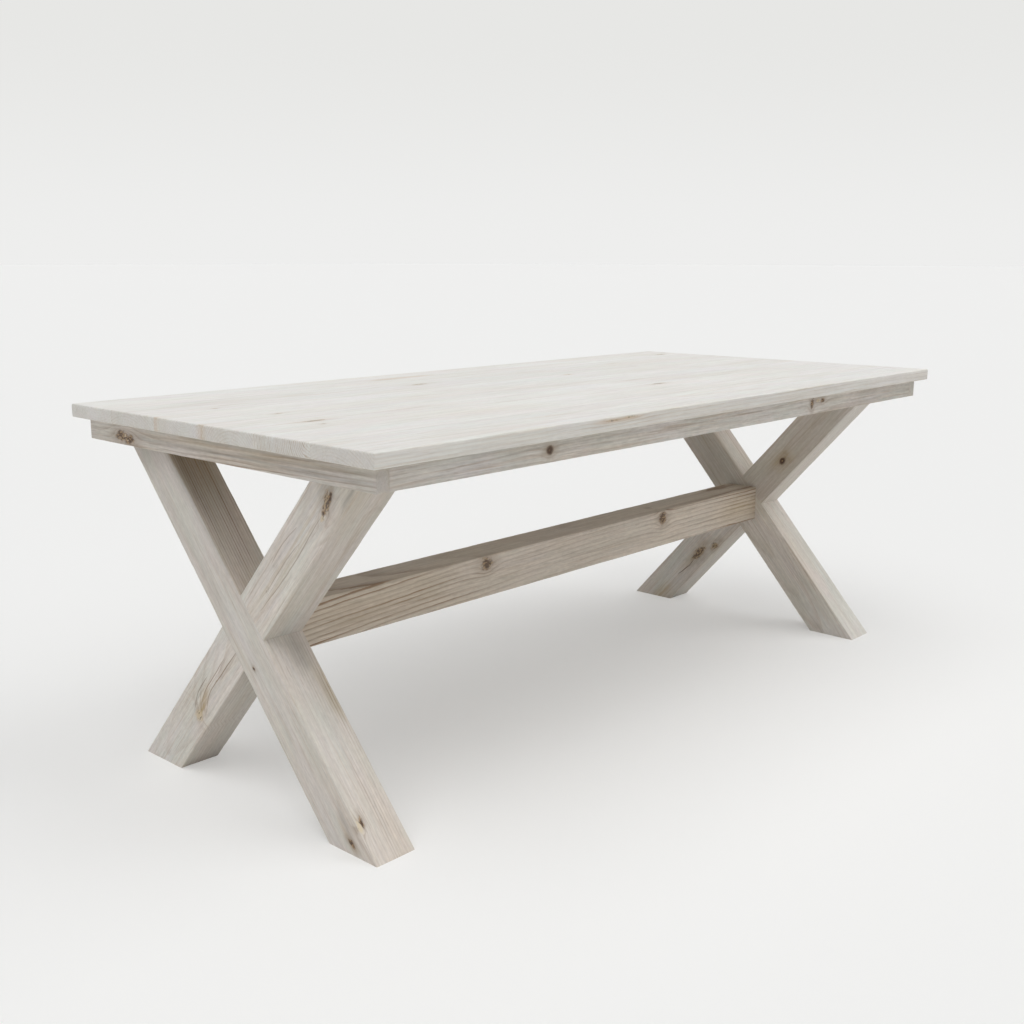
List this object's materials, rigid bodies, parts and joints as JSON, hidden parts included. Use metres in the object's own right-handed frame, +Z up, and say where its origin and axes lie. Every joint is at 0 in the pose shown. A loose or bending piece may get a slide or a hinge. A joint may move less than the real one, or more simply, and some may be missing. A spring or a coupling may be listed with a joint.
{
  "type": "sawbuck table",
  "caption": "Rectangular plank dining table on crossed-leg trestles, tied by a low square stretcher, with a shallow apron frame set in under the top.",
  "frame": {"origin": "on the floor, under the middle of the top", "axes": "+X along the top towards the right end, +Y across it towards the rear, +Z up"},
  "size_m": [2, 0.95, 0.76],
  "materials": {
    "whitewashed_pine_top": "matt white wash over fine-grained pine",
    "whitewashed_pine_frame": "matt thin white wash over knotty pine",
    "bare_pine": "planed, thinly washed pine",
    "beech_dowel": "fluted beech, unfinished",
    "zinc_screw": "bright zinc plate"
  },
  "bodies": {
    "root": {"top_board_1": "whitewashed_pine_top", "top_board_2": "whitewashed_pine_top", "top_board_3": "whitewashed_pine_top", "top_board_4": "whitewashed_pine_top", "top_board_5": "whitewashed_pine_top", "top_board_6": "whitewashed_pine_top", "end_apron_left": "whitewashed_pine_frame", "end_apron_right": "whitewashed_pine_frame", "side_apron_front": "whitewashed_pine_frame", "side_apron_rear": "whitewashed_pine_frame", "leg_left_front": "whitewashed_pine_frame", "leg_left_rear": "whitewashed_pine_frame", "leg_right_front": "whitewashed_pine_frame", "leg_right_rear": "whitewashed_pine_frame", "stretcher": "whitewashed_pine_frame", "bearer_left": "bare_pine", "bearer_right": "bare_pine", "middle_batten": "bare_pine", "board_dowels": "beech_dowel", "corner_dowels": "beech_dowel", "bearer_screws": "zinc_screw", "batten_screws": "zinc_screw", "apron_screws": "zinc_screw", "leg_screws": "zinc_screw", "lap_screws": "zinc_screw"}
  },
  "joints": []
}
